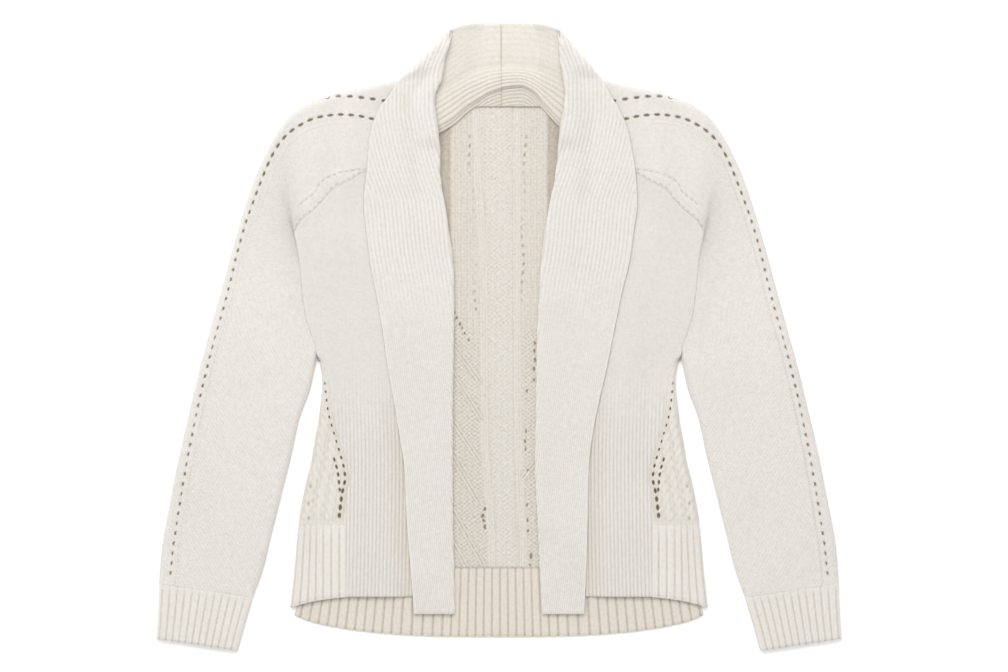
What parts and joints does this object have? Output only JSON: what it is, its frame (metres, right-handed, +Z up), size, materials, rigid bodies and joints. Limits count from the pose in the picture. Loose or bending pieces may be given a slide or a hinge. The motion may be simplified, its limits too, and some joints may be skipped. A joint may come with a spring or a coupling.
{
  "type": "knitted open-front cardigan",
  "caption": "Cream rib and cable knitted open-front cardigan with a shawl collar and long sleeves, laid flat on its back.",
  "frame": {"origin": "on the resting plane, under the middle of the back panel", "axes": "+X to the viewer's right across the fronts, +Y from hem to collar, +Z up from the surface it lies on"},
  "size_m": [0.7672, 0.7025, 0.0169],
  "materials": {
    "body_knit": "matt fine ribbed knit, cream",
    "body_knit_inside": "matt wrong side of a corded knit, warm cream",
    "cable_knit": "matt cabled knit, cream",
    "rib_knit": "matt wide rib knit, cream",
    "sleeve_knit": "matt plain knit with openwork holes, cream",
    "sleeve_knit_inside": "matt plain knit, warm cream",
    "collar_knit": "matt raised rib knit, cream"
  },
  "bodies": {
    "root": {"back_panel": "body_knit_inside", "hem_band": "rib_knit", "side_panel_left": "cable_knit", "side_panel_right": "cable_knit", "front_panel_left": "body_knit", "front_panel_right": "body_knit", "sleeve_front_left": "sleeve_knit", "sleeve_front_right": "sleeve_knit", "sleeve_back_left": "sleeve_knit_inside", "sleeve_back_right": "sleeve_knit_inside", "cuff_left": "rib_knit", "cuff_right": "rib_knit", "lapel_left": "collar_knit", "lapel_right": "collar_knit", "collar_left": "collar_knit", "collar_right": "collar_knit"}
  },
  "joints": []
}
